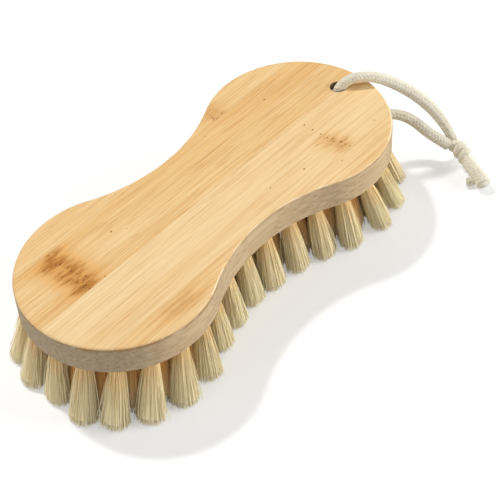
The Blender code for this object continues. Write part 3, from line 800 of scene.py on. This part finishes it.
def bamboo_material(name, **values):
    """Bamboo with a strip's own tone, and its own stem node."""
    material, tree, shader = start_material(name)
    strip = add_node(tree, "ShaderNodeGroup", node_tree=GRAIN)
    set_inputs(strip, {socket.replace("_", " "): value for socket, value in values.items()})
    set_inputs(shader, {
        "Base Color": strip.outputs["Color"], "Roughness": strip.outputs["Roughness"],
        "Specular IOR Level": 0.4, "Normal": bumped(strip.outputs["Height"], *BAMBOO_BUMP)})
    return material


STRIP_WIDTH = 0.0220
OUTSIDE = 0.2
CHEEK_BACK = (STRIP_WIDTH, OUTSIDE)
CHEEK_FRONT = (-OUTSIDE, -STRIP_WIDTH)
STRIPS = {
    "strip_middle_back": ((-OUTSIDE, OUTSIDE), (0.0, STRIP_WIDTH), dict(
        Tone=0.56, Seed=1.0, Node_Place=-0.0535, Node_Width=0.0062, Node_Strength=0.85,
        Node_Low=-0.002, Node_High=0.0225)),
    "strip_middle_front": ((-OUTSIDE, OUTSIDE), (-STRIP_WIDTH, 0.0), dict(
        Tone=0.22, Seed=2.0, Node_Place=0.0425, Node_Width=0.0042, Node_Strength=0.36,
        Node_Low=-0.0235, Node_High=-0.009, Dot_Line=0.0431)),
    "cheek_hole_end_back": ((0.0, OUTSIDE), CHEEK_BACK, dict(
        Tone=0.46, Seed=3.0, Node_Place=0.0275, Node_Width=0.0050, Node_Strength=0.30,
        Node_Low=0.014, Node_High=0.031)),
    "cheek_plain_end_back": ((-OUTSIDE, 0.0), CHEEK_BACK, dict(Tone=0.42, Seed=4.0)),
    "cheek_hole_end_front": ((0.0, OUTSIDE), CHEEK_FRONT, dict(Tone=0.36, Seed=5.0)),
    "cheek_plain_end_front": ((-OUTSIDE, 0.0), CHEEK_FRONT, dict(
        Tone=0.46, Seed=6.0, Node_Place=-0.041, Node_Width=0.0085, Node_Strength=0.25,
        Node_Low=-0.0305, Node_High=-0.0205)),
}


def slab_between(name, along, across):
    """A block from far below the board to far above it, which leaves half a seam at each side."""
    (left, right), (front, back) = [
        (low + SEAM_GAP / 2, high - SEAM_GAP / 2) for low, high in (along, across)]
    corners = ((left, front), (right, front), (right, back), (left, back))
    levels = [[(x, y, z) for x, y in corners] for z in (-OUTSIDE, OUTSIDE)]
    return new_object(name, mesh_of_rings(name, [levels]))


def apply_modifiers(piece):
    """Gives a piece the mesh its modifiers make, and removes them."""
    graph = bpy.context.evaluated_depsgraph_get()
    mesh = bpy.data.meshes.new_from_object(piece.evaluated_get(graph))
    piece.modifiers.clear()
    piece.data = mesh


def cut_mesh(piece, cuts):
    """Cuts a piece's mesh with Booleans, and shades it smooth between its sharp edges."""
    for operand, operation in cuts:
        modifier = piece.modifiers.new(operation.lower(), "BOOLEAN")
        modifier.operation = operation
        modifier.object = operand
        modifier.solver = "EXACT"
    apply_modifiers(piece)
    piece.data.shade_smooth()
    piece.data.set_sharp_from_angle(angle=SHARP_ANGLE)


blank = board_blank()
tuft_holes = hole_cutters(
    "tuft_holes", [root for tufts in TUFTS.values() for root, _ in tufts], TUFT_HOLE_RADIUS,
    BOARD_BOTTOM, BOARD_BOTTOM + TUFT_HOLE_DEPTH, TUFT_HOLE_SIDES, TUFT_HOLE_WEAR)
cord_hole = hole_cutters(
    "cord_hole", points_at(FLOOR_LEVEL, [(0.0, 0.0, 0.0)]), CORD_HOLE_RADIUS, BOARD_BOTTOM,
    BOARD_TOP, CORD_HOLE_SIDES, CORD_HOLE_EASE)

for name, (along, across, looks) in STRIPS.items():
    node = f"bamboo_{name}"
    strip = new_object(f"board_{name}", blank.copy())
    slab = slab_between(f"slab_{name}", along, across)
    strip.data.materials.append(bamboo_material(node, **looks))
    cuts = [(slab, "INTERSECT"), (tuft_holes, "DIFFERENCE")]
    if name.startswith("strip"):
        cuts.append((cord_hole, "DIFFERENCE"))
    cut_mesh(strip, cuts)
    bpy.data.objects.remove(slab)
    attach(strip, "root")
    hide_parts(node)
for cutter in (tuft_holes, cord_hole):
    bpy.data.objects.remove(cutter)


# Tufts: each is a bundle of stiff plant fibre, folded double under an anchor and driven into its
# hole. All of them are trimmed flat after setting, and the outer ones fan out past the board.
OUTER_BUNDLE = {"Fibres": 460, "Splay": 2.42, "Splay Bend": 1.0}
HIDDEN_BUNDLE = {"Fibres": 190, "Splay": 3.0, "Splay Bend": 0.6}
FIBRE_POINTS = 8
FIBRE_SIDES = 3
FIBRE_RADIUS = 0.00012
FIBRE_CROWDING = 0.4
FIBRE_TAPER = -0.18
HEART_SIDES = 28
HEART_RADIUS = 0.00168
HEART_TRIM = 0.0003
BUNDLE_RADIUS = 0.0021
FREE_LENGTH = BOARD_BOTTOM - FIBRE_RADIUS
ROW_SQUEEZE = 0.18
TIP_PULL = 0.94
FOLD_DEPTH = 0.0068
FIBRE_TRIM = 0.0012
TRIM_POWER = 2.0
FIBRE_JITTER = 0.00012
FIBRE_SWAY = 0.00045
FIBRE_BOW = 0.00024
FIBRE_THICKNESS = (0.75, 1.2)
STRAY_FROM = 0.98
STRAY_WANDER = 3.4
HOLE_POINTS = 2
GOLDEN_ANGLE = math.pi * (3 - math.sqrt(5))
STRAW_DARK = (0.93, 0.74, 0.41, 1)
STRAW_LIGHT = (1.0, 0.90, 0.585, 1)
# Painted shade: fibres darker and warmer near the board. Painted light: fibres paler towards the
# tips.
ROOT_PAINTED_SHADE = (0.92, 0.73, 0.50, 1)
ROOT_SHADE_EDGE = (0.0, 0.55, 0.8, 0.0)
TIP_PAINTED_LIGHT = (1.0, 0.92, 0.64, 1)
TIP_LIGHT_EDGE = (0.4, 1.0, 0.0, 0.6)
# Painted shade: inner tufts painted a warm brown, most near the board, for the shade between the
# tufts.
INNER_PAINTED_SHADE = (1.0, 0.71, 0.41, 1)
INNER_SHADE_EDGE = (0.35, 1.0, 0.95, 0.4)
MOTTLE_SCALE = (900, 900, 220)
MOTTLE_AMOUNT = 0.9
STRAND_SCALE = (3200, 3200, 110)
STRAND_AMOUNT = 0.8
FIBRE_ROUGHNESS = (0.5, 0.72)
FIBRE_BUMP = (0.3, 0.00004)


def random_field(tree, low, high, seed):
    """A random number for each copy, the same on each run."""
    node = add_node(tree, "FunctionNodeRandomValue", {2: low, 3: high, 8: seed}, data_type="FLOAT")
    return node.outputs[1]


def random_place(tree, reach, seed):
    """A random level vector for each copy, no longer than about the reach."""
    x = random_field(tree, -reach, reach, seed)
    y = random_field(tree, -reach, reach, seed + 1)
    return combined(x, y)


def stored(geometry, name, value, kind="FLOAT_VECTOR"):
    """The geometry with a value kept at each of its points."""
    inputs = {"Geometry": geometry, "Name": name, "Value": value}
    node = linked_node("GeometryNodeStoreNamedAttribute", inputs, data_type=kind)
    return node.outputs["Geometry"]


def named(tree, name, kind="FLOAT_VECTOR"):
    """A value that was kept at each point."""
    node = add_node(tree, "GeometryNodeInputNamedAttribute", {"Name": name}, data_type=kind)
    return node.outputs["Attribute"]


def moved(geometry, place):
    """The geometry with its points at new places."""
    inputs = {"Geometry": geometry, "Position": place}
    return linked_node("GeometryNodeSetPosition", inputs).outputs[0]


def strand_starts(tree, points, amount, radius):
    """Copies of each point, one for each strand, which keep the strand's place in the bundle and
    what sets it apart. They crowd towards the outside. A single copy is the bundle's heart."""
    heart = amount == 1
    inputs = {"Geometry": points, "Amount": amount}
    copies = linked_node("GeometryNodeDuplicateElements", inputs, domain="POINT").outputs
    number = copies["Duplicate Index"]
    share = calculate("DIVIDE", calculate("ADD", number, 0.5), amount)
    share = calculate("POWER", share, FIBRE_CROWDING / 2)
    reach = product(share, 0.0 if heart else BUNDLE_RADIUS - radius)
    angle = calculate("MULTIPLY_ADD", number, GOLDEN_ANGLE, named(tree, "turn", "FLOAT"))
    spread = combined(
        product(reach, calculate("COSINE", angle)), product(reach, calculate("SINE", angle)))
    if not heart:
        spread = vector_math("ADD", spread, random_place(tree, FIBRE_JITTER, 3))
    stray = calculate("GREATER_THAN", random_field(tree, 0.0, 1.0, 5), STRAY_FROM)
    wander = 0.0 if heart else calculate("MULTIPLY_ADD", stray, STRAY_WANDER, 1.0)
    trim = calculate("POWER", random_field(tree, 0.0, 1.0, 13), TRIM_POWER)
    trim = calculate("MULTIPLY_ADD", trim, FIBRE_TRIM, HEART_TRIM if heart else 0.0)
    strands = stored(copies["Geometry"], "spread", spread)
    strands = stored(strands, "sway", scaled(random_place(tree, FIBRE_SWAY, 7), wander))
    strands = stored(strands, "bow", scaled(random_place(tree, FIBRE_BOW, 11), wander))
    for name, value in (
            ("trim", trim), ("fibre_shade", random_field(tree, 0.0, 1.0, 17)),
            ("thickness", random_field(tree, *FIBRE_THICKNESS, 19))):
        strands = stored(strands, name, value, "FLOAT")
    return strands


def bundle(tree, given, points, amount, radius, sides):
    """Strands at each point, from the fold over its anchor down to the trimmed tips. The heart
    widens as its bundle does, and fibres keep about the same thickness."""
    strands = strand_starts(tree, points, amount, radius)
    line = add_node(tree, "GeometryNodeCurvePrimitiveLine", {"Start": (0, 0, 0), "End": (0, 0, 1)})
    line = linked_node("GeometryNodeResampleCurve", {"Curve": line.outputs[0], "Count": FIBRE_POINTS})
    curves = linked_node(
        "GeometryNodeInstanceOnPoints", {"Points": strands, "Instance": line.outputs[0]})
    curves = linked_node("GeometryNodeRealizeInstances", {"Geometry": curves.outputs[0]})

    factor = add_node(tree, "GeometryNodeSplineParameter").outputs["Factor"]
    step = product(factor, FIBRE_POINTS - 1)
    along = calculate("DIVIDE", difference(step, HOLE_POINTS), FIBRE_POINTS - 1 - HOLE_POINTS)
    free = calculate("MAXIMUM", along, 0.0)
    in_hole = calculate("MAXIMUM", difference(HOLE_POINTS, step), 0.0)
    length = difference(FREE_LENGTH, named(tree, "trim", "FLOAT"))
    level = difference(product(in_hole, FOLD_DEPTH / HOLE_POINTS), product(free, length))
    opened = calculate("POWER", free, given["Splay Bend"])
    widening = calculate("MULTIPLY_ADD", difference(given["Splay"], 1.0), opened, 1.0)
    at_fold = calculate("GREATER_THAN", in_hole, HOLE_POINTS - 0.5)
    folded = combined(1.0, difference(1.0, at_fold), 1.0)
    lean = scaled(named(tree, "reach"), product(free, TIP_PULL))
    arch = product(product(free, 4.0), difference(1.0, free))
    place = vector_math("MULTIPLY", scaled(named(tree, "spread"), widening), folded)
    for move in (
            lean, scaled(named(tree, "sway"), free), scaled(named(tree, "bow"), arch),
            combined(z=level), named(tree, "root")):
        place = vector_math("ADD", place, move)
    curves = moved(curves.outputs[0], place)
    curves = stored(curves, "fibre_place", free, "FLOAT")
    curves = stored(curves, "middle", vector_math("ADD", named(tree, "root"), lean))
    taper = calculate("MULTIPLY_ADD", free, FIBRE_TAPER, 1.0)
    taper = product(named(tree, "thickness", "FLOAT"), taper)
    profile = add_node(tree, "GeometryNodeCurvePrimitiveCircle", {0: sides, 4: radius}).outputs[0]
    mesh = linked_node("GeometryNodeCurveToMesh", {
        "Curve": curves, "Profile Curve": profile, "Scale": widening if amount == 1 else taper,
        "Fill Caps": True})
    return squeezed(tree, mesh.outputs[0])


def squeezed(tree, mesh):
    """The strands drawn in across the row towards the tips, and kept within the brush's size."""
    place = add_node(tree, "GeometryNodeInputPosition").outputs[0]
    outward = vector_math("NORMALIZE", named(tree, "reach"))
    off_middle = vector_math("SUBTRACT", place, named(tree, "middle"))
    across_row = vector_math("DOT_PRODUCT", off_middle, outward, output="Value")
    drawn = product(named(tree, "fibre_place", "FLOAT"), -ROW_SQUEEZE)
    drawn = scaled(outward, product(across_row, drawn))
    place = vector_math("ADD", place, drawn)
    place = vector_math("MAXIMUM", place, cad_box[0])
    return moved(mesh, vector_math("MINIMUM", place, cad_box[1]))


def fibre_bundle_tree():
    """Each point becomes a bundle: fibres round a heart, one thick closed strand, which stands
    for the fibres packed in the middle."""
    tree = bpy.data.node_groups.new("fibre_bundle", "GeometryNodeTree")
    tree.is_modifier = True
    for name, kind in (
            ("Geometry", "Geometry"), ("Fibres", "Int"), ("Splay", "Float"), ("Splay Bend", "Float")):
        tree.interface.new_socket(name, in_out="INPUT", socket_type=f"NodeSocket{kind}")
    tree.interface.new_socket("Geometry", in_out="OUTPUT", socket_type="NodeSocketGeometry")
    given = tree.nodes.new("NodeGroupInput").outputs

    points = linked_node("GeometryNodeMeshToPoints", {"Mesh": given["Geometry"]}).outputs[0]
    points = stored(points, "root", add_node(tree, "GeometryNodeInputPosition").outputs[0])
    fibres = bundle(tree, given, points, given["Fibres"], FIBRE_RADIUS, FIBRE_SIDES)
    heart = bundle(tree, given, points, 1, HEART_RADIUS, HEART_SIDES)
    joined = tree.nodes.new("GeometryNodeJoinGeometry")
    for part in (heart, fibres):
        tree.links.new(part, joined.inputs[0])
    mesh = linked_node("GeometryNodeSetShadeSmooth", {"Geometry": joined.outputs[0]}).outputs[0]
    mesh = linked_node("GeometryNodeSetMaterial", {"Geometry": mesh, "Material": FIBRE})
    linked_node("NodeGroupOutput", {"Geometry": mesh.outputs[0]})
    return tree


def fibre_material():
    """Stiff plant fibre: straw-coloured, each fibre its own tone; painted shade darker and warmer
    near the board, painted light paler at the tips, and painted shade browner on the inner tufts.
    """
    material, tree, shader = start_material("plant_fibre")
    along = mesh_value(tree, "fibre_place")
    place = object_place(tree)
    mottle = noise(place, MOTTLE_SCALE, 3.0, 0.6)
    strands = noise(place, STRAND_SCALE, 2.0, 0.6)
    tone = varied(mesh_value(tree, "fibre_shade"), mottle, MOTTLE_AMOUNT)
    tone = varied(tone, strands, STRAND_AMOUNT, clamp=True)
    colour = mixed_colour(tone, STRAW_DARK, STRAW_LIGHT)
    # Painted shade near the board, and painted light towards the tips.
    colour = tinted(remapped(along, *ROOT_SHADE_EDGE), colour, ROOT_PAINTED_SHADE)
    colour = mixed_colour(remapped(along, *TIP_LIGHT_EDGE), colour, TIP_PAINTED_LIGHT)
    # Painted shade on the inner tufts, strongest near the board.
    inner_shade = product(mesh_value(tree, "inner"), remapped(along, *INNER_SHADE_EDGE))
    set_inputs(shader, {
        "Base Color": tinted(inner_shade, colour, INNER_PAINTED_SHADE),
        "Roughness": remapped(mottle, *NOISE_RANGE, *FIBRE_ROUGHNESS),
        "Specular IOR Level": 0.35, "Normal": bumped(mottle, *FIBRE_BUMP)})
    return material


FIBRE = fibre_material()
BUNDLE_TREE = fibre_bundle_tree()
BUNDLE_INPUTS = {
    item.name: item.identifier for item in BUNDLE_TREE.interface.items_tree
    if item.in_out == "INPUT"}


def grow(piece, values):
    """Gives a piece the mesh of the bundles at its points, with these input values."""
    modifier = piece.modifiers.new(BUNDLE_TREE.name, "NODES")
    modifier.node_group = BUNDLE_TREE
    for name, value in values.items():
        modifier[BUNDLE_INPUTS[name]] = value
    apply_modifiers(piece)


turns = random.Random(41)
for node, tufts in TUFTS.items():
    seeds = bpy.data.meshes.new(node)
    seeds.from_pydata([(root.x, root.y, BOARD_BOTTOM) for root, _ in tufts], [], [])
    reaches = [(tip.x - root.x, tip.y - root.y, 0.0) for root, tip in tufts]
    carry(seeds, "reach", reaches, "FLOAT_VECTOR")
    carry(seeds, "turn", [turns.uniform(0, 2 * math.pi) for _ in tufts])
    inner = 0.0 if node.startswith("outer") else 1.0
    carry(seeds, "inner", [inner] * len(tufts))
    tuft = new_object(f"fibre_{node}", seeds)
    grow(tuft, HIDDEN_BUNDLE if inner else OUTER_BUNDLE)
    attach(tuft, "root")
    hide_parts(node)


# Floor and light: a white studio floor that keeps a grey shadow. A lamp high up behind the
# brush throws that shadow, wide ones low down at the right and left light the sides, and the
# white room fills the rest.
FLOOR_SIZE = 8.0
FLOOR_DROP = 0.00015
FLOOR_SHADOW_SHARE = 0.70
FLOOR_WHITE = 1.22
FLOOR_CARD = (0.82, 0.82, 0.82, 1)
WHITE = (1.0, 1.0, 1.0, 1)
ROOM_LIGHT = 0.39
LAMPS = {
    "back_lamp": (Vector((0.030, 0.540, 0.970)), 0.09, 6.1),
    "right_lamp": (Vector((0.600, -0.613, 0.278)), 0.60, 5.7),
    "left_lamp": (Vector((-0.837, 0.236, 0.233)), 0.60, 1.9),
}

floor_mesh = bpy.data.meshes.new("floor")
half = FLOOR_SIZE / 2
floor_mesh.from_pydata(
    [(x, y, -FLOOR_DROP) for x, y in ((-half, -half), (half, -half), (half, half), (-half, half))],
    [], [(0, 1, 2, 3)])
floor = new_object("floor", floor_mesh)

floor_material, tree, _ = start_material("white_floor")
tree.nodes.clear()
rays = add_node(tree, "ShaderNodeLightPath").outputs
seen = calculate("MAXIMUM", rays["Is Camera Ray"], rays["Is Glossy Ray"])
seen = calculate("MAXIMUM", seen, rays["Is Transmission Ray"])
card = add_node(tree, "ShaderNodeBsdfDiffuse", {"Color": FLOOR_CARD}).outputs[0]
shaded = add_node(tree, "ShaderNodeBsdfDiffuse", {"Color": WHITE}).outputs[0]
white = add_node(tree, "ShaderNodeEmission", {"Color": WHITE, "Strength": FLOOR_WHITE}).outputs[0]
shown = linked_node("ShaderNodeMixShader", {0: FLOOR_SHADOW_SHARE, 1: white, 2: shaded}).outputs[0]
surface = linked_node("ShaderNodeMixShader", {0: seen, 1: card, 2: shown}).outputs[0]
clear = add_node(tree, "ShaderNodeBsdfTransparent").outputs[0]
behind = add_node(tree, "ShaderNodeNewGeometry").outputs["Backfacing"]
surface = linked_node("ShaderNodeMixShader", {0: behind, 1: surface, 2: clear}).outputs[0]
linked_node("ShaderNodeOutputMaterial", {"Surface": surface})
floor_mesh.materials.append(floor_material)

for name, (place, size, power) in LAMPS.items():
    lamp_data = bpy.data.lights.new(name, "AREA")
    lamp_data.shape = "DISK"
    lamp_data.size = size
    lamp_data.energy = power
    lamp = new_object(name, lamp_data)
    lamp.matrix_world = Matrix.Translation(place) @ place.to_track_quat("Z", "Y").to_matrix().to_4x4()
    lamp.visible_camera = False

world = bpy.data.worlds.new("room")
world.use_nodes = True
bpy.context.scene.world = world
tree = world.node_tree
tree.nodes.clear()
rays = add_node(tree, "ShaderNodeLightPath").outputs
seen = calculate("MAXIMUM", rays["Is Camera Ray"], rays["Is Transmission Ray"])
strength = calculate("MULTIPLY_ADD", seen, 1.0 - ROOM_LIGHT, ROOM_LIGHT)
room = linked_node("ShaderNodeBackground", {"Color": WHITE, "Strength": strength}).outputs[0]
linked_node("ShaderNodeOutputWorld", {"Surface": room})

bpy.context.scene.view_settings.view_transform = "Standard"
